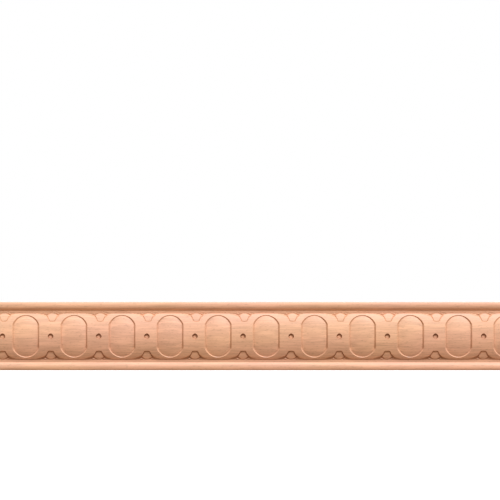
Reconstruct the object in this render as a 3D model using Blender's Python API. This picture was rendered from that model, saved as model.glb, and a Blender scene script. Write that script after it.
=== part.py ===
"""A carved beech moulding strip, made upright as it is fixed on a wall.

The strip is one piece of wood. A convex band of ovals in linked rings runs along its middle, with a
drilled dimple and two small tongues between each pair of ovals. A flat fillet and a rounded bead
frame the band on each side. The carving repeats at an even pitch, and both ends are cut square.

The strip is shaped lying flat, with its face up: the bar is profiled, the pattern is cut at an even
depth, and the carved band is then bent over its arc. Last, it is stood up with its face towards -Y.
"""

import math

import bmesh
import bpy

# Sizes are in metres. While the strip lies flat, x runs along it, y across it and z out from its back.

# The whole strip: a whole number of repeats, so the pattern carries on across a joint.
WIDTH = 0.061
CROWN = 0.012
PITCH = 0.043
REPEATS = 11
LENGTH = PITCH * REPEATS
# How far along the strip the dimple nearest its middle lies.
MIDDLE_DIMPLE = -0.0062
# The carving tools are a little out of step, along the strip: ovals against the middle between two
# dimples, and upper tongues against the dimples.
OVAL_SLIP = -0.0008
UPPER_TONGUE_SLIP = 0.0011

# The beads at the edges: one arc with its crest a little way in, and a small round down to the side.
BEAD_WIDTH = 0.0073
BEAD_CREST_IN = 0.0030
BEAD_RADIUS = 0.0055
BEAD_ARRIS = 0.0008
BEAD_FACETS = 8
ARRIS_FACETS = 2

# The flat fillets beside the band.
FILLET_WIDTH = 0.0029
FILLET_LEVEL = 0.0057

# The carved band, an arc that drops from the crown to a low step above the fillet.
BAND_HALF = WIDTH / 2 - BEAD_WIDTH - FILLET_WIDTH
BAND_DROP = 0.0056
BAND_RADIUS = (BAND_HALF**2 + BAND_DROP**2) / (2 * BAND_DROP)
BAND_FACETS = 12

# The ovals: straight sides and slightly flattened ends, with a steep wall down to a sunk, convex egg.
OVAL_HALF_WIDTH = 0.0121
OVAL_HALF_HEIGHT = 0.0190
OVAL_END_RADIUS = 0.0129
OVAL_END_FACETS = 9
WALL_SLOPE = 1.3
EGG_CROWN_DEPTH = 0.0008
EGG_SIDE_DEPTH = 0.0019
EGG_FACETS = 6

# The dimples: small round holes with steep sides and an almost flat floor.
DIMPLE_RADIUS = 0.00245
DIMPLE_DEPTH = 0.0015
DIMPLE_FLOOR_RADIUS = 0.0019
DIMPLE_SIDES = 12

# The tongues, outlined by a V tool that goes deeper where its cut is wider. The upper tongues are cut
# with a flatter tool.
LOWER_VEINER_SLOPE = 2.0
UPPER_VEINER_SLOPE = 1.1
TONGUE_LINE = 0.00055
TONGUE_TIP = 0.0134
# A lower tongue's own face lies this far below the band, and an upper one less in the same measure.
TONGUE_SUNK = 0.0005

# Half of a tongue's outline as stations of (along, across, half-width of the cut). It starts in the
# middle of the tip, turns the corner, runs down the side, and widens into the hollow by the ring.
TONGUE_HALF = [
    (0.0000, TONGUE_TIP, TONGUE_LINE),
    (0.0018, TONGUE_TIP, TONGUE_LINE),
    (0.0027, 0.0146, TONGUE_LINE),
    (0.0040, 0.0170, 0.0006),
    (0.0052, 0.0185, 0.0011),
    (0.0070, 0.0196, 0.0012),
    (0.0095, 0.0202, 0.0009),
    (0.0120, 0.0205, 0.0005),
]
# How many of the stations outline the tongue itself.
TONGUE_STATIONS = 5

# The hollow's short arm, which rounds off the foot of the tongue.
FOOT_ARM = [
    (0.0052, 0.0189, 0.0011),
    (0.0018, 0.0204, 0.0005),
]

# Every cut starts this much of its own depth above the face.
CUT_CLEARANCE = 0.5
# The deepest cuts stop this far above the fillet.
FLOOR_GAP = 0.0001
SAME_POINT = 0.000001
CLOSE_POINTS = 0.00005

SHARP_EDGE_DEGREES = 20
BEECH = (0.80, 0.53, 0.36, 1.0)
BEECH_ROUGHNESS = 0.6


def link(collection, name, data):
    """Put a mesh or a curve in a collection as an object of its own."""
    thing = bpy.data.objects.new(name, data)
    collection.objects.link(thing)
    return thing


def evaluated_mesh(thing):
    """An object's mesh as its curve settings and modifiers leave it."""
    bpy.context.view_layer.update()
    graph = bpy.context.evaluated_depsgraph_get()
    return bpy.data.meshes.new_from_object(thing.evaluated_get(graph))


def closed_mesh(curve_object):
    """Turn a curve with caps into a welded mesh in its own place, with its faces outwards."""
    mesh = evaluated_mesh(curve_object)
    mesh.transform(curve_object.matrix_world)
    bpy.data.objects.remove(curve_object)
    shape = bmesh.new()
    shape.from_mesh(mesh)
    bmesh.ops.remove_doubles(shape, verts=shape.verts, dist=SAME_POINT)
    bmesh.ops.recalc_face_normals(shape, faces=shape.faces)
    shape.to_mesh(mesh)
    shape.free()
    return mesh


def straight_curve(name, points, closed=True, radii=None):
    """A curve of straight stretches through flat points, each with its own radius."""
    data = bpy.data.curves.new(name, "CURVE")
    data.dimensions = "2D"
    line = data.splines.new("POLY")
    line.points.add(len(points) - 1)
    for index, (u, v) in enumerate(points):
        line.points[index].co = (u, v, 0.0, 1.0)
        line.points[index].radius = radii[index] if radii else 1.0
    line.use_cyclic_u = closed
    return data


def prism(name, points, thickness):
    """A flat outline with thickness, centred on its own plane."""
    data = straight_curve(name, points)
    data.fill_mode = "BOTH"
    data.extrude = thickness / 2
    return link(bpy.context.scene.collection, name, data)


def arc_points(centre, radius, start, end, facets):
    """Points along an arc between two angles in radians, with both ends."""
    points = []
    for step in range(facets + 1):
        angle = start + (end - start) * step / facets
        points.append((centre[0] + radius * math.cos(angle), centre[1] + radius * math.sin(angle)))
    return points


def bar_profile():
    """The bar's section before the band is bent: beads and fillets in place, and the band flat."""
    edge = WIDTH / 2
    foot = math.acos((BEAD_CREST_IN - BEAD_WIDTH) / BEAD_RADIUS)
    arris = math.acos((BEAD_CREST_IN - BEAD_ARRIS) / (BEAD_RADIUS - BEAD_ARRIS))
    bead_centre = (edge - BEAD_CREST_IN, FILLET_LEVEL - BEAD_RADIUS * math.sin(foot))
    arris_height = bead_centre[1] + (BEAD_RADIUS - BEAD_ARRIS) * math.sin(arris)
    right = [(edge, 0.0)]
    right += arc_points((edge - BEAD_ARRIS, arris_height), BEAD_ARRIS, 0, arris, ARRIS_FACETS)
    right += arc_points(bead_centre, BEAD_RADIUS, arris, foot, BEAD_FACETS)[1:]
    right += [(BAND_HALF, FILLET_LEVEL), (BAND_HALF, CROWN)]
    left = [(-across, height) for across, height in reversed(right)]
    return right + left


def oval_points(inset):
    """The oval's outline moved inwards: straight sides, and arcs that meet them at a slight kink."""
    half_width = OVAL_HALF_WIDTH - inset
    radius = OVAL_END_RADIUS - inset
    centre = OVAL_HALF_HEIGHT - OVAL_END_RADIUS
    start = math.acos(half_width / radius)
    top = arc_points((0.0, centre), radius, start, math.pi - start, OVAL_END_FACETS)
    return top + [(-x, -y) for x, y in top]


def swept_cut(name, path, section, closed, radii=None):
    """A cutter that carries a section along a flat path, which lies at the level of the face."""
    section_object = bpy.data.objects.new(name + "_section", straight_curve(name + "_section", section))
    data = straight_curve(name, path, closed, radii)
    data.dimensions = "3D"
    data.twist_mode = "Z_UP"
    data.bevel_mode = "OBJECT"
    data.bevel_object = section_object
    data.use_fill_caps = not closed
    mesh = closed_mesh(link(bpy.context.scene.collection, name, data))
    bpy.data.objects.remove(section_object)
    return mesh


def oval_plug():
    """A block with the oval's outline, whose wall slopes in as it goes down through the face."""
    low = -EGG_SIDE_DEPTH * (1 + CUT_CLEARANCE)
    high = EGG_SIDE_DEPTH * CUT_CLEARANCE
    plug = prism("oval_plug", oval_points(-low / WALL_SLOPE), high - low)
    plug.location.z = (high + low) / 2
    mesh = closed_mesh(plug)
    wider = oval_points(-high / WALL_SLOPE)
    narrow = oval_points(-low / WALL_SLOPE)
    for vert in mesh.vertices:
        if vert.co.z > 0:
            gaps = [math.dist(vert.co.xy, point) for point in narrow]
            vert.co.xy = wider[gaps.index(min(gaps))]
    return mesh


def egg_vault():
    """All that lies above the egg's surface, a shallow vault that runs across the strip."""
    half = OVAL_HALF_WIDTH * (1 + CUT_CLEARANCE)
    top = 2 * EGG_SIDE_DEPTH
    vault = []
    for step in range(EGG_FACETS + 1):
        share = 2 * step / EGG_FACETS - 1
        depth = EGG_CROWN_DEPTH + (EGG_SIDE_DEPTH - EGG_CROWN_DEPTH) * share**2
        vault.append((share * OVAL_HALF_WIDTH, -depth))
    vault = [(-half, -EGG_SIDE_DEPTH)] + vault + [(half, -EGG_SIDE_DEPTH), (half, top), (-half, top)]
    tunnel = prism("egg_vault", vault, WIDTH)
    tunnel.rotation_euler.x = math.radians(90)
    return closed_mesh(tunnel)


def oval_cut():
    """What is taken out of an oval: the part of the plug that lies above the egg."""
    plug = link(bpy.context.scene.collection, "oval_plug", oval_plug())
    vault = link(bpy.context.scene.collection, "egg_vault", egg_vault())
    above = plug.modifiers.new("above the egg", "BOOLEAN")
    above.operation = "INTERSECT"
    above.object = vault
    mesh = evaluated_mesh(plug)
    mesh.name = "sunk_oval"
    bpy.data.objects.remove(plug)
    bpy.data.objects.remove(vault)
    return mesh


def veiner_cut(name, stations, slope):
    """A V cut through stations of (along, across, half-width), with walls of a slope."""
    path = [(x, y) for x, y, half_width in stations]
    half_widths = [half_width for x, y, half_width in stations]
    over = 1 + CUT_CLEARANCE
    lift = slope * CUT_CLEARANCE
    section = [(0.0, -slope), (over, lift), (-over, lift)]
    return swept_cut(name, path, section, False, half_widths)


def tongue_cuts(side, slope):
    """The cuts that leave a tongue standing at the band's top edge, side 1, or bottom edge, side -1."""
    right = [(x, side * y, half_width) for x, y, half_width in TONGUE_HALF]
    left = [(-x, y, half_width) for x, y, half_width in reversed(right[1:])]
    cuts = [veiner_cut("tongue_outline", left + right, slope)]
    for hand in (1, -1):
        arm = [(hand * x, side * y, half_width) for x, y, half_width in FOOT_ARM]
        cuts.append(veiner_cut("tongue_foot", arm, slope))
    outline = [(x, y) for x, y, half_width in right[1:TONGUE_STATIONS]]
    outline.append((outline[-1][0], side * (BAND_HALF + FLOOR_GAP)))
    outline += [(-x, y) for x, y in reversed(outline)]
    sunk = TONGUE_SUNK * slope / LOWER_VEINER_SLOPE
    cuts.append(closed_mesh(prism("tongue_face", outline, 2 * sunk)))
    return cuts


def dimple_cut():
    """A dimple's cutter: a short cone that narrows to the floor."""
    height = DIMPLE_DEPTH * (1 + CUT_CLEARANCE)
    flare = (DIMPLE_RADIUS - DIMPLE_FLOOR_RADIUS) * CUT_CLEARANCE
    cone = bmesh.new()
    bmesh.ops.create_cone(
        cone,
        cap_ends=True,
        segments=DIMPLE_SIDES,
        radius1=DIMPLE_FLOOR_RADIUS,
        radius2=DIMPLE_RADIUS + flare,
        depth=height,
    )
    bmesh.ops.translate(cone, verts=cone.verts, vec=(0.0, 0.0, height / 2 - DIMPLE_DEPTH))
    mesh = bpy.data.meshes.new("dimple")
    cone.to_mesh(mesh)
    cone.free()
    return mesh


def place_cutters(collection):
    """One set of cutters for each repeat, and one more past each end."""
    cuts = [(mesh, UPPER_TONGUE_SLIP) for mesh in tongue_cuts(1, UPPER_VEINER_SLOPE)]
    cuts += [(mesh, 0.0) for mesh in tongue_cuts(-1, LOWER_VEINER_SLOPE)]
    cuts.append((dimple_cut(), 0.0))
    cuts.append((oval_cut(), PITCH / 2 + OVAL_SLIP))
    reach = REPEATS // 2 + 1
    for index in range(-reach, reach + 1):
        for mesh, x in cuts:
            cutter = link(collection, mesh.name, mesh)
            cutter.location.x = MIDDLE_DIMPLE + index * PITCH + x
            cutter.location.z = CROWN
            cutter.hide_render = True
            cutter.display_type = "WIRE"


def merge_close_points(shape):
    """Join points that the cuts left almost together, and take out the slivers between them."""
    bmesh.ops.remove_doubles(shape, verts=shape.verts, dist=CLOSE_POINTS)
    bmesh.ops.dissolve_degenerate(shape, edges=shape.edges, dist=CLOSE_POINTS)


def slice_band(shape):
    """Cut the carved faces into even strips along the bar, so that they can follow the arc."""
    for index in range(1, BAND_FACETS):
        across = BAND_HALF * (2 * index / BAND_FACETS - 1)
        faces = [face for face in shape.faces if min(v.co.z for v in face.verts) > FILLET_LEVEL + FLOOR_GAP]
        edges = {edge for face in faces for edge in face.edges}
        verts = {vert for face in faces for vert in face.verts}
        geometry = faces + list(edges) + list(verts)
        bmesh.ops.bisect_plane(
            shape, geom=geometry, dist=SAME_POINT, plane_co=(0, across, 0), plane_no=(0, 1, 0)
        )


def bend_band(shape):
    """Lower the carved face onto the band's arc."""
    floor = FILLET_LEVEL + FLOOR_GAP
    for vert in shape.verts:
        if vert.co.z > floor and abs(vert.co.y) < BAND_HALF + FLOOR_GAP:
            reach = min(abs(vert.co.y), BAND_HALF)
            drop = BAND_RADIUS - math.sqrt(BAND_RADIUS**2 - reach**2)
            vert.co.z = max(vert.co.z - drop, floor)


def beech():
    """Steamed beech, sanded and left unfinished."""
    wood = bpy.data.materials.new("steamed_beech")
    wood.use_nodes = True
    surface = wood.node_tree.nodes["Principled BSDF"]
    surface.inputs["Base Color"].default_value = BEECH
    surface.inputs["Roughness"].default_value = BEECH_ROUGHNESS
    surface.inputs["Metallic"].default_value = 0.0
    return wood


def carved_flat(strip_collection, cutter_collection):
    """The profiled bar with the whole pattern cut in it, before the band is bent."""
    bar = prism("bar", bar_profile(), LENGTH)
    bar.rotation_euler = (math.radians(90), 0, math.radians(90))
    blank = link(strip_collection, "blank", closed_mesh(bar))
    carving = blank.modifiers.new("carving", "BOOLEAN")
    carving.operand_type = "COLLECTION"
    carving.collection = cutter_collection
    carving.operation = "DIFFERENCE"
    carving.solver = "EXACT"
    mesh = evaluated_mesh(blank)
    bpy.data.objects.remove(blank)
    return mesh


def build():
    for thing in list(bpy.data.objects):
        bpy.data.objects.remove(thing)
    strip_collection = bpy.data.collections.new("carved_moulding")
    cutter_collection = bpy.data.collections.new("cutters")
    bpy.context.scene.collection.children.link(strip_collection)
    bpy.context.scene.collection.children.link(cutter_collection)
    place_cutters(cutter_collection)
    mesh = carved_flat(strip_collection, cutter_collection)

    shape = bmesh.new()
    shape.from_mesh(mesh)
    merge_close_points(shape)
    slice_band(shape)
    merge_close_points(shape)
    bend_band(shape)
    merge_close_points(shape)
    bmesh.ops.triangulate(shape, faces=shape.faces, quad_method="SHORT_EDGE", ngon_method="BEAUTY")
    shape.to_mesh(mesh)
    shape.free()

    mesh.materials.clear()
    mesh.materials.append(beech())
    mesh.shade_smooth()
    mesh.set_sharp_from_angle(angle=math.radians(SHARP_EDGE_DEGREES))
    strip = link(strip_collection, "moulding_strip", mesh)
    strip.rotation_euler.x = math.radians(90)


build()
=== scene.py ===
# %% [markdown]
# # A carved beech moulding strip
#
# The object is a length of wooden moulding that is glued or pinned to furniture or a wall. A row of
# ovals runs along its convex middle, with a drilled dimple and two small tongues between each pair.
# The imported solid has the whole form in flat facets. This lesson makes the same form again with a fine
# surface, and gives it the grain and colour of steamed beech.

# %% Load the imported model
import math

import bmesh
import bpy
from mathutils import Matrix, Vector


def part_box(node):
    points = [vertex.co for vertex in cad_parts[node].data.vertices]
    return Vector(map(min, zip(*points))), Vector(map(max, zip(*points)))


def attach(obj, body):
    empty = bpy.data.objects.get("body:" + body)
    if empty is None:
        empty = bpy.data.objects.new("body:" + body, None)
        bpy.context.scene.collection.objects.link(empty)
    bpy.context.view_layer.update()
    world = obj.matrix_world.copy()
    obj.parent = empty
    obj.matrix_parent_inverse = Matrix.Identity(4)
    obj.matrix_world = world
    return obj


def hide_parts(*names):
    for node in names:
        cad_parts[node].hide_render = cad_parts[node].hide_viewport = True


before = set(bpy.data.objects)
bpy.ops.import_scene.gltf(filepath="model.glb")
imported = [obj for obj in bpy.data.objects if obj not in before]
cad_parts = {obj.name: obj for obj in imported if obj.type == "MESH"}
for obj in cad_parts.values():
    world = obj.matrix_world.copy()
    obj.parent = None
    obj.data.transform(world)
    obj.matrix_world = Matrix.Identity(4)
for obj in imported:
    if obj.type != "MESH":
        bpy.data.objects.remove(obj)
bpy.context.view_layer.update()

# %% [markdown]
# ## Sizes
#
# The length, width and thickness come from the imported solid, so the fine surface can't drift away from
# it. The rest are the maker's own sizes, in metres. While the strip is shaped it lies flat, as on a
# bench: x runs along it, y across it, and z is the height above its back.

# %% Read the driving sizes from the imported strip
MM = 0.001
strip_low, strip_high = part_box("moulding_strip")
length = strip_high.x - strip_low.x
width = strip_high.z - strip_low.z
crown = strip_high.y - strip_low.y
print(f"strip {length / MM:.1f} x {width / MM:.1f} x {crown / MM:.1f} mm")

# %% Name the sizes of the profile
PITCH = 43 * MM
MIDDLE_DIMPLE = -6.2 * MM
BEAD_WIDTH = 7.3 * MM
BEAD_CREST_IN = 3.0 * MM
BEAD_RADIUS = 5.5 * MM
BEAD_ARRIS = 0.8 * MM
FILLET_WIDTH = 2.9 * MM
FILLET_LEVEL = 5.7 * MM
BAND_DROP = 5.6 * MM
band_half = width / 2 - BEAD_WIDTH - FILLET_WIDTH
band_radius = (band_half**2 + BAND_DROP**2) / (2 * BAND_DROP)
print(f"band {2 * band_half / MM:.1f} mm wide, on an arc of {band_radius / MM:.1f} mm radius")

# %% [markdown]
# ## One quarter of one repeat
#
# The carving is the same in every repeat, and apart from small slips of the tools each repeat is
# symmetrical along and across. So only a quarter of it is shaped: from the middle of a dimple to the
# middle of an oval, and from the strip's centre line to the band's border. Cutters and Booleans could
# carve it too, but they leave long thin faces that shade badly on a curved band.
#
# A carver first draws the pattern on the face, and then sinks it. The mesh is treated the same way. It
# starts as a flat grid, every line of the pattern is scored into it with a cutting plane, and
# afterwards each point sinks to its depth. Because the lines are real edges, the cuts come out crisp
# without a very dense mesh.

# %% Lay out the flat sheet
SHEET_CELL = 1.0 * MM
SAME_POINT = 0.001 * MM
HALF_UNIT = 0.5

# The cells of the corner where the tongue lies are halved.
FINE_ALONG_TO = 13 * MM
FINE_ACROSS_FROM = 12.5 * MM

sheet = bmesh.new()
columns = round(PITCH / 2 / SHEET_CELL)
rows = round(band_half / SHEET_CELL)
bmesh.ops.create_grid(sheet, x_segments=columns, y_segments=rows, size=HALF_UNIT)
bmesh.ops.translate(sheet, verts=sheet.verts, vec=(HALF_UNIT, HALF_UNIT, 0))
bmesh.ops.scale(sheet, verts=sheet.verts, vec=(PITCH / 2, band_half, 1))
tongue_corner = [
    edge
    for edge in sheet.edges
    if all(v.co.x < FINE_ALONG_TO and v.co.y > FINE_ACROSS_FROM for v in edge.verts)
]
bmesh.ops.subdivide_edges(sheet, edges=tongue_corner, cuts=1, use_grid_fill=True)
print(f"sheet of {len(sheet.faces)} cells")


# %% Score a line into the sheet
SCORE_SNAP = 0.03 * MM


def score(a, b):
    """Cut the cells between two points of the flat sheet along the line that joins them."""
    a, b = Vector((*a, 0)), Vector((*b, 0))
    along = (b - a).normalized()
    across = Vector((-along.y, along.x, 0))
    reach = (b - a).length
    crossed = []
    for face in sheet.faces:
        sides = [(v.co - a).dot(across) for v in face.verts]
        if min(sides) < 0 < max(sides):
            places = [(v.co - a).dot(along) for v in face.verts]
            if min(places) < reach and max(places) > 0:
                crossed.append(face)
    edges = {edge for face in crossed for edge in face.edges}
    verts = {vert for face in crossed for vert in face.verts}
    bmesh.ops.bisect_plane(
        sheet, geom=[*crossed, *edges, *verts], dist=SCORE_SNAP, plane_co=a, plane_no=across
    )


def score_path(points):
    """Score a line through several points, stretch by stretch."""
    for a, b in zip(points, points[1:]):
        score(a, b)


# %% [markdown]
# ## The ovals
#
# Each oval has straight sides and slightly flattened ends. A stretched circle would be simpler, but it
# has no straight stretch, so the outline is made of a line and an arc. A steep wall drops from the ring
# to the egg inside, which is sunk below the band and a little convex along the strip. An inset is a
# distance inwards from the oval's outline.

# %% Name the oval's sizes
OVAL_HALF_WIDTH = 12.1 * MM
OVAL_HALF_HEIGHT = 19.0 * MM
OVAL_END_RADIUS = 12.9 * MM
WALL_SLOPE = 1.3
EGG_CROWN_DEPTH = 0.80 * MM
EGG_SIDE_DEPTH = 1.90 * MM
OVAL_STEPS = 14
oval_x = PITCH / 2
oval_arc_y = OVAL_HALF_HEIGHT - OVAL_END_RADIUS


def oval_inset(x, y):
    """How far inside the oval's outline a point of the quarter lies."""
    from_side = OVAL_HALF_WIDTH - abs(x - oval_x)
    if y < oval_arc_y:
        return from_side
    return min(from_side, OVAL_END_RADIUS - math.hypot(x - oval_x, y - oval_arc_y))


def egg_depth(x):
    """The depth of the egg's surface below the band, from its middle out to its side."""
    share = min(abs(x - oval_x) / OVAL_HALF_WIDTH, 1)
    return EGG_CROWN_DEPTH + (EGG_SIDE_DEPTH - EGG_CROWN_DEPTH) * share**2


def oval_depth(x, y):
    """The depth of the oval's wall or egg at a point."""
    return min(max(oval_inset(x, y), 0) * WALL_SLOPE, egg_depth(x))


# %% Score the oval's lines
def oval_outline():
    """A quarter of the oval's outline, from its side to its end."""
    kink = math.asin(OVAL_HALF_WIDTH / OVAL_END_RADIUS)
    points = [(oval_x - OVAL_HALF_WIDTH, 0)]
    for step in range(OVAL_STEPS + 1):
        angle = kink * (1 - step / OVAL_STEPS)
        along = oval_x - OVAL_END_RADIUS * math.sin(angle)
        points.append((along, oval_arc_y + OVAL_END_RADIUS * math.cos(angle)))
    return points


def egg_rim():
    """The line where the wall meets the egg, worked out from the depth of the egg there."""
    points = []
    for x, y in oval_outline():
        toward = Vector((oval_x, min(y, oval_arc_y))) - Vector((x, y))
        place = Vector((x, y)) + toward.normalized() * egg_depth(x) / WALL_SLOPE
        points.append((min(place.x, oval_x), place.y))
    return points


score_path(oval_outline())
score_path(egg_rim())
print(f"oval scored, {len(sheet.faces)} cells")

# %% [markdown]
# ## The tongues
#
# Between two ovals, a small tongue stands at each border. A V tool outlines it: across the tip, round
# the corner, down the side, and out into a hollow by the ring of the oval. Where the tool is pressed
# deeper its cut is wider, so the path is a row of stations, each with the cut's half-width. A short
# second cut rounds off the tongue's foot. A tube of V section along a curve could be cut out instead,
# but where cuts cross it is simpler to give each point the depth of the deepest one. The upper tongues
# are cut with a flatter tool, so their lines are fainter than those of the lower ones.

# %% Name the tool's path
VEINER_SLOPE = 2.0
UPPER_VEINER_SLOPE = 1.1
TONGUE_LINE = 0.55 * MM
TONGUE_TIP = 13.4 * MM
TONGUE_TIP_SUNK = 0.7 * MM
TONGUE_FOOT_SUNK = 0.2 * MM

# Stations of (along, across, half-width of the cut).
TONGUE_PATH = [
    (0.0 * MM, TONGUE_TIP, TONGUE_LINE),
    (1.9 * MM, TONGUE_TIP + 0.1 * MM, TONGUE_LINE),
    (2.6 * MM, TONGUE_TIP + 0.8 * MM, TONGUE_LINE),
    (3.0 * MM, 15.4 * MM, TONGUE_LINE),
    (4.2 * MM, 17.3 * MM, 0.7 * MM),
    (5.2 * MM, 18.5 * MM, 1.1 * MM),
    (7.0 * MM, 19.6 * MM, 1.2 * MM),
    (9.5 * MM, 20.2 * MM, 0.9 * MM),
    (12.0 * MM, 20.5 * MM, 0.5 * MM),
]
FOOT_PATH = [
    (5.2 * MM, 18.9 * MM, 1.1 * MM),
    (1.8 * MM, 20.4 * MM, 0.5 * MM),
]


def cut_depth(x, y, path):
    """The depth that a V tool reaches at a point as it moves along its path."""
    deepest = 0
    for (x0, y0, half0), (x1, y1, half1) in zip(path, path[1:]):
        run = Vector((x1 - x0, y1 - y0))
        taper = (half0 - half1) / run.length
        offset = Vector((x - x0, y - y0))
        along = offset.dot(run) / run.length
        aside = abs(offset.cross(run)) / run.length
        nearest = along - aside * taper / math.sqrt(1 - taper**2)
        share = min(max(nearest / run.length, 0), 1)
        half = half0 + (half1 - half0) * share
        distance = math.hypot(x - x0 - share * run.x, y - y0 - share * run.y)
        deepest = max(deepest, (half - distance) * VEINER_SLOPE)
    return deepest


def tongue_depth(x, y):
    """The depth of the tongue's own face, inside its outline: it rises from its tip to its foot."""
    for (x0, y0, half0), (x1, y1, half1) in zip(TONGUE_PATH, TONGUE_PATH[1:]):
        if y0 < y <= y1 and x < x0 + (x1 - x0) * (y - y0) / (y1 - y0):
            share = (y - TONGUE_TIP) / (band_half - TONGUE_TIP)
            return TONGUE_TIP_SUNK + (TONGUE_FOOT_SUNK - TONGUE_TIP_SUNK) * share
    return 0


# %% Score the tool's lines
FLOOR_GAP = 0.1 * MM
SHORTEST_SCORE = 0.1 * MM


def band_drop(y):
    """How far the band's arc lies below the crown."""
    return band_radius - math.sqrt(band_radius**2 - min(y, band_half) ** 2)


def floor_depth(y):
    """The depth at which a cut comes down almost to the level of the fillet."""
    return crown - band_drop(y) - FILLET_LEVEL - FLOOR_GAP


def cut_lines(path):
    """The lines of a V cut: its bottom, its two rims, and the edges of its flat floor if it has one."""
    lines = [[(x, y) for x, y, half in path]]
    for hand in (1, -1):
        rim = []
        floor = []
        for (x0, y0, half0), (x1, y1, half1) in zip(path, path[1:]):
            normal = Vector((y0 - y1, x1 - x0)).normalized() * hand
            for x, y, half in ((x0, y0, half0), (x1, y1, half1)):
                rim.append((x + normal.x * half, y + normal.y * half))
                level = half - floor_depth(y) / VEINER_SLOPE
                if level > 0:
                    floor.append((x + normal.x * level, y + normal.y * level))
        lines.append(rim)
        lines.append(floor)
    return lines


for path in (TONGUE_PATH, FOOT_PATH):
    for line in cut_lines(path):
        for a, b in zip(line, line[1:]):
            if math.dist(a, b) > SHORTEST_SCORE:
                score(a, b)
print(f"tongue scored, {len(sheet.faces)} cells")

# %% [markdown]
# ## The dimple
#
# The dimple is a small round hole with steep sides and an almost flat floor. A cylinder could be cut
# out instead, but rings scored in the sheet keep the mesh in one piece. They lie closer together where
# the dimple is steeper.

# %% Score the dimple's rings
DIMPLE_RADIUS = 2.45 * MM
DIMPLE_DEPTH = 1.5 * MM
DIMPLE_ROUNDING = 6
DIMPLE_RINGS = 7
DIMPLE_STEPS = 7


def dimple_depth(x, y):
    """The depth of the dimple at a point: a superellipse, flat in the middle and steep at the rim."""
    share = math.hypot(x, y) / DIMPLE_RADIUS
    return DIMPLE_DEPTH * (1 - share**DIMPLE_ROUNDING) ** (1 / DIMPLE_ROUNDING) if share < 1 else 0


for ring in range(1, DIMPLE_RINGS + 1):
    radius = DIMPLE_RADIUS * math.sin(math.radians(90) * ring / DIMPLE_RINGS)
    angles = [math.radians(90) * step / DIMPLE_STEPS for step in range(DIMPLE_STEPS + 1)]
    score_path([(radius * math.cos(angle), radius * math.sin(angle)) for angle in angles])
print(f"dimple scored, {len(sheet.faces)} cells")

# %% [markdown]
# ## Sinking the carving
#
# First the sheet's cells become triangles, while it is still flat and their shapes are easy to judge.
# Then each point goes to its height: the crown, less the arc of the band, less the deepest cut there.
# No cut goes below the fillet, where the carver stops so that the hollows run out onto it. Each point
# also notes how much less deep it lies in the upper half, where the tool is flatter.

# %% Sink each point to its depth
MERGE = 0.05 * MM
bmesh.ops.remove_doubles(sheet, verts=sheet.verts, dist=MERGE)
bmesh.ops.dissolve_degenerate(sheet, edges=sheet.edges, dist=MERGE / 2)
for vert in sheet.verts:
    for axis, side in ((0, 0), (0, PITCH / 2), (1, 0), (1, band_half)):
        if abs(vert.co[axis] - side) < MERGE:
            vert.co[axis] = side
bmesh.ops.triangulate(sheet, faces=sheet.faces, quad_method="SHORT_EDGE", ngon_method="BEAUTY")
upper_lift = sheet.verts.layers.float.new("upper_lift")
for vert in sheet.verts:
    x, y = vert.co.x, vert.co.y
    v_cut = max(cut_depth(x, y, TONGUE_PATH), cut_depth(x, y, FOOT_PATH), tongue_depth(x, y))
    other_cut = max(oval_depth(x, y), dimple_depth(x, y))
    lower = min(max(other_cut, v_cut), floor_depth(y))
    upper = min(max(other_cut, v_cut * UPPER_VEINER_SLOPE / VEINER_SLOPE), floor_depth(y))
    vert.co.z = crown - band_drop(y) - lower
    vert[upper_lift] = lower - upper
print(f"quarter of {len(sheet.faces)} triangles")

# %% [markdown]
# ## The fillet, the bead and the back
#
# Beside the band, the section is the same all along the strip, as a moulding plane or a spindle
# cutter leaves it. A bar of that section could be joined on, but an extrusion has no seam to hide. So
# the band's border edge is extruded: down onto the fillet, across it, over the bead, down the straight
# side, and along the back to the centre line. The many points of the border are only needed up to the
# fillet, so they are dissolved on its far side.

# %% Extrude the border along the profile
BEAD_STEPS = 16
ARRIS_STEPS = 5
BACK_EASING = 0.3 * MM


def arc(centre, radius, start, end, steps):
    """Points on an arc after its first, as (across, height), between two angles in radians."""
    points = []
    for step in range(1, steps + 1):
        angle = start + (end - start) * step / steps
        points.append((centre[0] + radius * math.cos(angle), centre[1] + radius * math.sin(angle)))
    return points


def extrude_to(edges, y=None, z=None):
    """Extrude edges that run along the strip, and set how far across and how high the new ones are."""
    made = bmesh.ops.extrude_edge_only(sheet, edges=edges)["geom"]
    for part in made:
        if isinstance(part, bmesh.types.BMVert):
            part.co.y = part.co.y if y is None else y
            part.co.z = part.co.z if z is None else z
    return [part for part in made if isinstance(part, bmesh.types.BMEdge) and part.is_boundary]


def along_strip(edges):
    """Those of some edges that run along the strip."""
    return [e for e in edges if abs(e.verts[0].co.y - e.verts[1].co.y) < SAME_POINT]


border = [e for e in sheet.edges if e.is_boundary and min(v.co.y for v in e.verts) > band_half - SAME_POINT]
foot = along_strip(extrude_to(border, z=FILLET_LEVEL))
far_side = along_strip(extrude_to(foot, y=band_half + FILLET_WIDTH))
between = [
    vert
    for vert in {v for e in far_side for v in e.verts}
    if SAME_POINT < vert.co.x < PITCH / 2 - SAME_POINT
]
bmesh.ops.dissolve_verts(sheet, verts=between)
edge_y = width / 2
foot_angle = math.acos((BEAD_CREST_IN - BEAD_WIDTH) / BEAD_RADIUS)
arris_angle = math.acos((BEAD_CREST_IN - BEAD_ARRIS) / (BEAD_RADIUS - BEAD_ARRIS))
bead_centre = (edge_y - BEAD_CREST_IN, FILLET_LEVEL - BEAD_RADIUS * math.sin(foot_angle))
arris_height = bead_centre[1] + (BEAD_RADIUS - BEAD_ARRIS) * math.sin(arris_angle)
profile = arc(bead_centre, BEAD_RADIUS, foot_angle, arris_angle, BEAD_STEPS)
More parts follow.
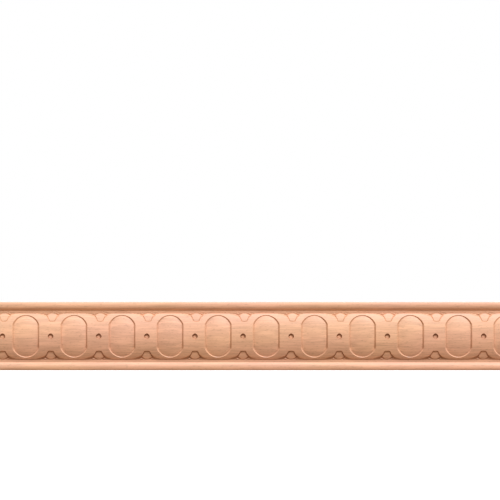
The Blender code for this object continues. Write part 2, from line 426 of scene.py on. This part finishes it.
profile += arc((edge_y - BEAD_ARRIS, arris_height), BEAD_ARRIS, arris_angle, 0, ARRIS_STEPS)
profile += [(edge_y, BACK_EASING), (edge_y - BACK_EASING, 0), (0, 0)]
bead_crest = bead_centre[1] + BEAD_RADIUS
print(f"bead crest at {bead_crest / MM:.2f} mm, its side up to {arris_height / MM:.2f} mm")
lines = [
    e
    for e in sheet.edges
    if e.is_boundary and min(v.co.y for v in e.verts) > band_half + FILLET_WIDTH - SAME_POINT
]
for y, z in profile:
    lines = along_strip(extrude_to(lines, y=y, z=z))
print(f"quarter with its edge, {len(sheet.faces)} faces")

# %% [markdown]
# ## Painted shade in the carving
#
# The V cuts, the steep walls of the ovals and dimples, and the fillets lie in shade. Their colour is
# darkened here as painted shade, so that the thin lines of the carving read from a step away. A shader
# could look for edges, but here the depth of each cut is known. So a number on each point notes how
# strong the painted shade is, from 0 to 1, for the material to read.

# %% Note where shade is painted into the carving
FULL_SHADE_DEPTH = 1.8 * MM
V_CUT_SHADE = 0.6
OVAL_WALL_SHADE = 0.28
RIM_TOLERANCE = 1.1
DIMPLE_WALL_FROM = 0.62
FILLET_SHADE = 0.25
# Painted shade: a number on each point that darkens the wood where shade falls in the cuts, on the walls and
# on the fillets.
painted_shade = sheet.verts.layers.float.new("painted_shade")
for vert in sheet.verts:
    x, y = vert.co.x, vert.co.y
    if y < band_half + SAME_POINT and vert.co.z > FILLET_LEVEL + FLOOR_GAP / 2:
        v_cut = max(cut_depth(x, y, TONGUE_PATH), cut_depth(x, y, FOOT_PATH))
        wall_share = oval_inset(x, y) * WALL_SLOPE / egg_depth(x)
        if DIMPLE_WALL_FROM < math.hypot(x, y) / DIMPLE_RADIUS < 1:
            vert[painted_shade] = 1
        elif 0 < wall_share < RIM_TOLERANCE:
            vert[painted_shade] = OVAL_WALL_SHADE * min(wall_share, 1)
        else:
            vert[painted_shade] = min(v_cut / FULL_SHADE_DEPTH, V_CUT_SHADE)
    elif band_half - SAME_POINT < y < band_half + FILLET_WIDTH + SAME_POINT:
        vert[painted_shade] = FILLET_SHADE
print(f"{sum(vert[painted_shade] > FILLET_SHADE for vert in sheet.verts)} points marked harder than the fillet")

# %% [markdown]
# ## From a quarter to the whole strip
#
# The quarter is mirrored across the strip and along it, which gives one repeat from dimple to dimple.
# Copies of that repeat are laid end to end, further than the strip is long. Then both ends are cut
# square, as a saw would cut them, and closed. Mirror and Array modifiers could do this too, but with
# operators the upper half can be changed on the way. After the first mirroring, the cuts of the upper
# tongues are made shallower. Their painted shade is made weaker, since that half faces the key light,
# and it fades towards the foot. The painted shade in the dimple is full on its upper wall, which lies
# in shadow, and fades down to its lit lower wall. Mirroring turns faces inside out, so the normals are
# worked out again once all the seams are merged.


# %% Mirror the quarter across the strip
def everything(shape):
    """All the vertices, edges and faces of a shape, as the operators take them."""
    return shape.verts[:] + shape.edges[:] + shape.faces[:]


UPPER_TONGUE_SHADE = 0.4
DIMPLE_LOWER_WALL_SHADE = 0.5
bmesh.ops.mirror(sheet, geom=everything(sheet), axis="Y", merge_dist=SAME_POINT)
for vert in sheet.verts:
    x, y = vert.co.x, vert.co.y
    if y > 0:
        vert.co.z += vert[upper_lift]
    # Painted shade: weaker in the upper tongues, which face the key light, and fading to nothing at their
    # foot; in the dimple, full on the shaded upper wall and weaker on the lit lower wall.
    if TONGUE_TIP - TONGUE_LINE < y < band_half - SAME_POINT and oval_inset(x, y) < 0:
        to_foot = max(y - TONGUE_TIP, 0) / (band_half - TONGUE_TIP)
        vert[painted_shade] = min(vert[painted_shade], UPPER_TONGUE_SHADE * (1 - to_foot))
    elif math.hypot(x, y) < DIMPLE_RADIUS:
        height_share = (y / DIMPLE_RADIUS + 1) / 2
        vert[painted_shade] *= DIMPLE_LOWER_WALL_SHADE + (1 - DIMPLE_LOWER_WALL_SHADE) * height_share
sheet.verts.layers.float.remove(upper_lift)
print(f"half a repeat of {len(sheet.faces)} faces")

# %% Mirror the half along the strip
bmesh.ops.translate(sheet, verts=sheet.verts, vec=(-PITCH / 2, 0, 0))
bmesh.ops.mirror(sheet, geom=everything(sheet), axis="X", merge_dist=SAME_POINT)
bmesh.ops.translate(sheet, verts=sheet.verts, vec=(PITCH / 2, 0, 0))
bmesh.ops.remove_doubles(sheet, verts=sheet.verts, dist=SAME_POINT)
print(f"one repeat of {len(sheet.faces)} faces, {sum(e.is_wire for e in sheet.edges)} loose edges")

# %% [markdown]
# ## Tools out of step
#
# On the real strip the carving machine's tools are a little out of step: the ovals lie left of the
# middle between two dimples, and the upper tongues lie right of the dimples. So each point of the
# repeat slides along the strip. Each ornament slides as a whole, and the plain wood between stretches.

# %% Slide the ornaments along the strip
OVAL_SLIP = -0.8 * MM
UPPER_TONGUE_SLIP = 1.1 * MM
SLIP_FROM = 5.0 * MM
slip_to = oval_x - OVAL_HALF_WIDTH
UPPER_FROM = 9.0 * MM
UPPER_TO = 12.6 * MM


def ease(value, start, end):
    """A share that rises smoothly from 0 at one value to 1 at another."""
    share = min(max((value - start) / (end - start), 0), 1)
    return share * share * (3 - 2 * share)


for vert in sheet.verts:
    from_dimple = min(vert.co.x, PITCH - vert.co.x)
    by_oval = ease(from_dimple, SLIP_FROM, slip_to)
    by_upper_tongue = ease(vert.co.y, UPPER_FROM, UPPER_TO) * (1 - by_oval)
    vert.co.x += OVAL_SLIP * by_oval + UPPER_TONGUE_SLIP * by_upper_tongue
print(f"ovals slipped {OVAL_SLIP / MM:.1f} mm, upper tongues {UPPER_TONGUE_SLIP / MM:.1f} mm")

# %% Lay the repeats end to end
one_repeat = bpy.data.meshes.new("one_repeat")
sheet.to_mesh(one_repeat)
sheet.free()
strip = bmesh.new()
first = math.ceil((-length / 2 - MIDDLE_DIMPLE) / PITCH) - 1
last = math.floor((length / 2 - MIDDLE_DIMPLE) / PITCH)
for index in range(first, last + 1):
    already = len(strip.verts)
    strip.from_mesh(one_repeat)
    strip.verts.ensure_lookup_table()
    bmesh.ops.translate(strip, verts=strip.verts[already:], vec=(MIDDLE_DIMPLE + index * PITCH, 0, 0))
bpy.data.meshes.remove(one_repeat)
bmesh.ops.remove_doubles(strip, verts=strip.verts, dist=SAME_POINT)
print(f"{last + 1 - first} repeats, {len(strip.faces)} faces")

# %% Cut both ends square and close them
CUBIC_CM = 1e-6
for end in (1, -1):
    bmesh.ops.bisect_plane(
        strip,
        geom=everything(strip),
        dist=SAME_POINT,
        plane_co=(end * length / 2, 0, 0),
        plane_no=(end, 0, 0),
        clear_outer=True,
    )
bmesh.ops.holes_fill(strip, edges=[e for e in strip.edges if e.is_boundary], sides=0)
bmesh.ops.recalc_face_normals(strip, faces=strip.faces)
bmesh.ops.triangulate(strip, faces=strip.faces, quad_method="SHORT_EDGE", ngon_method="BEAUTY")
open_edges = sum(not e.is_manifold for e in strip.edges)
volume = strip.calc_volume() / CUBIC_CM
print(f"strip of {len(strip.faces)} triangles, {open_edges} open edges, {volume:.2f} cm3")

# %% [markdown]
# ## Standing the strip up
#
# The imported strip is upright, with its back against the wall plane and its carved face towards -Y. A
# quarter turn about X takes the flat strip there. The turn goes into the mesh, so that the object
# itself stays at the origin and the wood's pattern, which reads the object's own coordinates, is fixed
# to it. The surface is smooth except where two cuts meet at a crisp angle.

# %% Turn the strip upright and make it an object
SHARP_ANGLE = 22
bmesh.ops.rotate(strip, verts=strip.verts, matrix=Matrix.Rotation(math.radians(90), 3, "X"))
carved_mesh = bpy.data.meshes.new("carved_strip")
strip.to_mesh(carved_mesh)
strip.free()
carved_mesh.shade_smooth()
carved_mesh.set_sharp_from_angle(angle=math.radians(SHARP_ANGLE))
carved_strip = bpy.data.objects.new("carved_strip", carved_mesh)
bpy.context.scene.collection.objects.link(carved_strip)
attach(carved_strip, "root")
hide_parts("moulding_strip")
print(f"{carved_strip.name} replaces the packed solid")

# %% [markdown]
# ## Colours and nodes
#
# Colours are written as sRGB hex values, as a colour picker gives them, and one function turns them to
# the linear values that Blender works with. One more function adds a shader node with its settings and
# whatever feeds its sockets.


# %% Two helpers for materials
def linear(hex_colour):
    """An sRGB hex colour as linear red, green, blue and alpha."""
    channels = [int(hex_colour[i : i + 2], 16) / 255 for i in (1, 3, 5)]
    return [c / 12.92 if c <= 0.04045 else ((c + 0.055) / 1.055) ** 2.4 for c in channels] + [1]


def add_node(tree, kind, inputs=None, **settings):
    """Add a node with its settings, and give its input sockets values or links."""
    node = tree.nodes.new(kind)
    for name, value in settings.items():
        setattr(node, name, value)
    for socket, value in (inputs or {}).items():
        if isinstance(value, bpy.types.NodeSocket):
            tree.links.new(value, node.inputs[socket])
        else:
            node.inputs[socket].default_value = value
    return node


# %% [markdown]
# ## Steamed beech, carved and sanded, unfinished
#
# Beech is steamed to an even pinkish tan. It has no bold figure: the eye sees fine fibre lines along
# the strip, a sprinkle of short darker flecks from its rays, soft growth layers that show as patches
# where the carving cuts through them, and slow changes of tone along the length. Bare sanded wood is
# matt, with a faint sheen.
#
# A wave texture is often used for wood, but its rings are too regular for beech. Here each pattern is a
# noise in the solid wood, stretched to the size of the real thing. The layers lie parallel to the face,
# as in a plain-sawn board. Real fibres are 0.2 mm across and real flecks 0.3 mm. One pixel of the
# picture is 0.9 mm of wood, so both are drawn as coarse as they need to be to show.

# %% Lay the patterns of the wood
beech = bpy.data.materials.new("steamed_beech")
beech.use_nodes = True
wood = beech.node_tree
place = add_node(wood, "ShaderNodeTexCoord").outputs["Object"]

# Each pattern's size along, into and across the strip, its detail, the part of the noise that is used,
# and the brightness that the two ends of that part give.
PATTERNS = {
    "fibres": ((18 * MM, 1.2 * MM, 1.2 * MM), 2.0, (0.30, 0.70), (0.90, 1.10)),
    "flecks": ((2.6 * MM, 0.8 * MM, 0.8 * MM), 0.0, (0.62, 0.78), (1.00, 0.86)),
    "layers": ((60 * MM, 1.4 * MM, 6 * MM), 1.0, (0.32, 0.68), (0.93, 1.07)),
}
brightness = 1.0
noises = {}
for name, (size, detail, noise_range, brightness_range) in PATTERNS.items():
    stretched = add_node(wood, "ShaderNodeMapping", {"Vector": place, "Scale": [1 / side for side in size]})
    noise = add_node(
        wood, "ShaderNodeTexNoise", {"Vector": stretched.outputs["Vector"], "Scale": 1, "Detail": detail}
    )
    pattern = add_node(
        wood,
        "ShaderNodeMapRange",
        {
            "Value": noise.outputs["Fac"],
            "From Min": noise_range[0],
            "From Max": noise_range[1],
            "To Min": brightness_range[0],
            "To Max": brightness_range[1],
        },
    )
    product = add_node(
        wood, "ShaderNodeMath", {0: pattern.outputs["Result"], 1: brightness}, operation="MULTIPLY"
    )
    brightness = product.outputs["Value"]
    noises[name] = noise.outputs["Fac"]
print(f"{len(PATTERNS)} patterns in the wood")

# %% [markdown]
# The tone drifts slowly from pinkish to tan. Where the carving lies in shade, painted shade makes the
# wood a little darker, which makes the thin lines of the carving readable from a step away. The fibre
# pattern also drives the roughness, and a relief of a few hundredths of a millimetre.

# %% Colour the beech
PINKISH = "#E8B291"
TANNISH = "#E8B58E"
# The colour of the painted shade in the carving.
PAINTED_SHADE_TONE = "#AE8E6E"
DRIFT_SIZE = (90 * MM, 25 * MM, 25 * MM)
DRIFT_DETAIL = 1
DRIFT_RANGE = (0.35, 0.65)
drift = add_node(
    wood, "ShaderNodeMapping", {"Vector": place, "Scale": [1 / side for side in DRIFT_SIZE]}
)
drift_noise = add_node(
    wood, "ShaderNodeTexNoise", {"Vector": drift.outputs["Vector"], "Scale": 1, "Detail": DRIFT_DETAIL}
)
tone = add_node(
    wood,
    "ShaderNodeMapRange",
    {"Value": drift_noise.outputs["Fac"], "From Min": DRIFT_RANGE[0], "From Max": DRIFT_RANGE[1]},
)
plain = add_node(
    wood,
    "ShaderNodeMixRGB",
    {"Fac": tone.outputs["Result"], "Color1": linear(PINKISH), "Color2": linear(TANNISH)},
)
figured = add_node(
    wood,
    "ShaderNodeMixRGB",
    {"Fac": 1.0, "Color1": plain.outputs["Color"], "Color2": brightness},
    blend_type="MULTIPLY",
)
# Painted shade: the colour is multiplied towards a darker brown where the carving lies in shade.
painted_shade_reader = add_node(wood, "ShaderNodeAttribute", attribute_name="painted_shade")
beech_colour = add_node(
    wood,
    "ShaderNodeMixRGB",
    {"Fac": painted_shade_reader.outputs["Fac"], "Color1": figured.outputs["Color"], "Color2": linear(PAINTED_SHADE_TONE)},
    blend_type="MULTIPLY",
)

# %% Give the beech its sheen and its fine relief
FIBRE_RELIEF = 0.05 * MM
RELIEF_STRENGTH = 0.5
FIBRE_RANGE = (0.3, 0.7)
SANDED_ROUGHNESS = (0.46, 0.56)
roughness = add_node(
    wood,
    "ShaderNodeMapRange",
    {
        "Value": noises["fibres"],
        "From Min": FIBRE_RANGE[0],
        "From Max": FIBRE_RANGE[1],
        "To Min": SANDED_ROUGHNESS[0],
        "To Max": SANDED_ROUGHNESS[1],
    },
)
relief = add_node(
    wood,
    "ShaderNodeBump",
    {"Height": noises["fibres"], "Strength": RELIEF_STRENGTH, "Distance": FIBRE_RELIEF},
)
surface = wood.nodes["Principled BSDF"]
wood.links.new(beech_colour.outputs["Color"], surface.inputs["Base Color"])
wood.links.new(roughness.outputs["Result"], surface.inputs["Roughness"])
wood.links.new(relief.outputs["Normal"], surface.inputs["Normal"])
carved_mesh.materials.append(beech)
print(f"{beech.name} has {len(wood.nodes)} nodes")

# %% [markdown]
# ## End grain
#
# The saw cuts across the fibres at both ends. There the open ends of the fibres drink in the light, so
# end grain is darker and duller than the face, with the growth layers as faint uneven bands across the
# width. The face's own material could be darkened there, but the two have so little in common that the
# ends get one of their own.

# %% Make the end grain
END_LIGHT = "#D39A6E"
END_DARK = "#B97F55"
END_LAYER_SIZE = (70 * MM, 1.2 * MM, 9 * MM)
END_LAYER_DETAIL = 4
SAWN_ROUGHNESS = 0.8
end_grain = bpy.data.materials.new("steamed_beech_end_grain")
end_grain.use_nodes = True
cut = end_grain.node_tree
cut_place = add_node(cut, "ShaderNodeTexCoord").outputs["Object"]
cut_layers = add_node(
    cut, "ShaderNodeMapping", {"Vector": cut_place, "Scale": [1 / side for side in END_LAYER_SIZE]}
)
cut_noise = add_node(
    cut,
    "ShaderNodeTexNoise",
    {"Vector": cut_layers.outputs["Vector"], "Scale": 1, "Detail": END_LAYER_DETAIL},
)
cut_colour = add_node(
    cut,
    "ShaderNodeMixRGB",
    {"Fac": cut_noise.outputs["Fac"], "Color1": linear(END_LIGHT), "Color2": linear(END_DARK)},
)
cut_surface = cut.nodes["Principled BSDF"]
cut.links.new(cut_colour.outputs["Color"], cut_surface.inputs["Base Color"])
cut_surface.inputs["Roughness"].default_value = SAWN_ROUGHNESS
carved_mesh.materials.append(end_grain)
for polygon in carved_mesh.polygons:
    polygon.material_index = 1 if abs(polygon.center.x) > length / 2 - SAME_POINT else 0
print(f"{sum(polygon.material_index for polygon in carved_mesh.polygons)} end-grain faces")

# %% [markdown]
# ## Floor and light
#
# The strip is shown as in a catalogue: straight from the front, on white. The key light comes from
# the upper right and models the carving, and a weaker light as wide as a window softens its shadows.
# The surroundings give a weak warm fill, and one more weak light reaches the back. The floor is pale
# and lies well below the strip.

# %% Make the floor
FLOOR_BELOW = 0.18
FLOOR_HALF = 6.0
FLOOR_WHITE = "#F8F8F8"
PAINT_ROUGHNESS = 0.9
floor_shape = bmesh.new()
bmesh.ops.create_grid(floor_shape, x_segments=1, y_segments=1, size=FLOOR_HALF)
bmesh.ops.translate(floor_shape, verts=floor_shape.verts, vec=(0, 0, -FLOOR_BELOW))
floor_mesh = bpy.data.meshes.new("floor")
floor_shape.to_mesh(floor_mesh)
floor_shape.free()
floor = bpy.data.objects.new("floor", floor_mesh)
bpy.context.scene.collection.objects.link(floor)
floor_paint = bpy.data.materials.new("matt_white_paint")
floor_paint.use_nodes = True
floor_surface = floor_paint.node_tree.nodes["Principled BSDF"]
floor_surface.inputs["Base Color"].default_value = linear(FLOOR_WHITE)
floor_surface.inputs["Roughness"].default_value = PAINT_ROUGHNESS
floor_mesh.materials.append(floor_paint)
floor.visible_diffuse = False
floor.visible_glossy = False
print(f"floor {FLOOR_BELOW / MM:.0f} mm below the strip's centre")


# %% Set the lights
def add_sun(name, towards, strength, spread, colour):
    """Add a distant light that comes from a direction, with an angular spread in degrees."""
    data = bpy.data.lights.new(name, "SUN")
    data.energy = strength
    data.angle = math.radians(spread)
    data.color = linear(colour)[:3]
    lamp = bpy.data.objects.new(name, data)
    lamp.rotation_euler = Vector(towards).to_track_quat("Z", "Y").to_euler()
    bpy.context.scene.collection.objects.link(lamp)
    print(f"{name} of strength {strength}, {spread} degrees wide")


add_sun("key_light", towards=(0.25, -0.53, 0.81), strength=3.3, spread=8, colour="#EEF4FF")
add_sun("window_light", towards=(0.10, -0.50, 0.86), strength=0.9, spread=120, colour="#E8F2FF")
add_sun("back_light", towards=(-0.30, 0.90, 0.30), strength=1.5, spread=60, colour="#FFFFFF")

# %% Set the surroundings
WARM_FILL = "#FFDDBB"
FILL_STRENGTH = 0.36
BACKGROUND_WHITE = "#FFFFFF"
world = bpy.data.worlds.new("white_studio")
bpy.context.scene.world = world
world.use_nodes = True
sky = world.node_tree
sky.nodes.clear()
fill = add_node(sky, "ShaderNodeBackground", {"Color": linear(WARM_FILL), "Strength": FILL_STRENGTH})
white = add_node(sky, "ShaderNodeBackground", {"Color": linear(BACKGROUND_WHITE), "Strength": 1})
path_kind = add_node(sky, "ShaderNodeLightPath").outputs["Is Camera Ray"]
mixed = add_node(
    sky,
    "ShaderNodeMixShader",
    {"Fac": path_kind, 1: fill.outputs["Background"], 2: white.outputs["Background"]},
)
add_node(sky, "ShaderNodeOutputWorld", {"Surface": mixed.outputs["Shader"]})
bpy.context.scene.view_settings.view_transform = "Standard"

# %% [markdown]
# ## The camera
#
# The photograph shows the strip square on, with no convergence, so the camera stands far off with a
# long lens. The number of its pixels in one repeat of the carving gives the distance, which is measured
# from a height between the fillets and the crown.

# %% Place the camera
PICTURE_PIXELS = 500
REPEAT_PIXELS = 48.07
STRIP_CENTRE_ROW = 336.3
FACE_SHARE = 0.75
LENS = 200
SENSOR = 36
pixel = PITCH / REPEAT_PIXELS
camera_data = bpy.data.cameras.new("camera")
camera_data.lens = LENS
camera_data.sensor_width = SENSOR
camera = bpy.data.objects.new("camera", camera_data)
face_y = -FACE_SHARE * crown
distance = PICTURE_PIXELS * pixel * LENS / SENSOR
height = (STRIP_CENTRE_ROW - PICTURE_PIXELS / 2) * pixel
camera.location = (0, face_y - distance, height)
camera.rotation_euler = (math.radians(90), 0, 0)
bpy.context.scene.collection.objects.link(camera)
bpy.context.scene.camera = camera
print(f"camera {distance:.3f} m away, {height / MM:.1f} mm above the strip's centre")
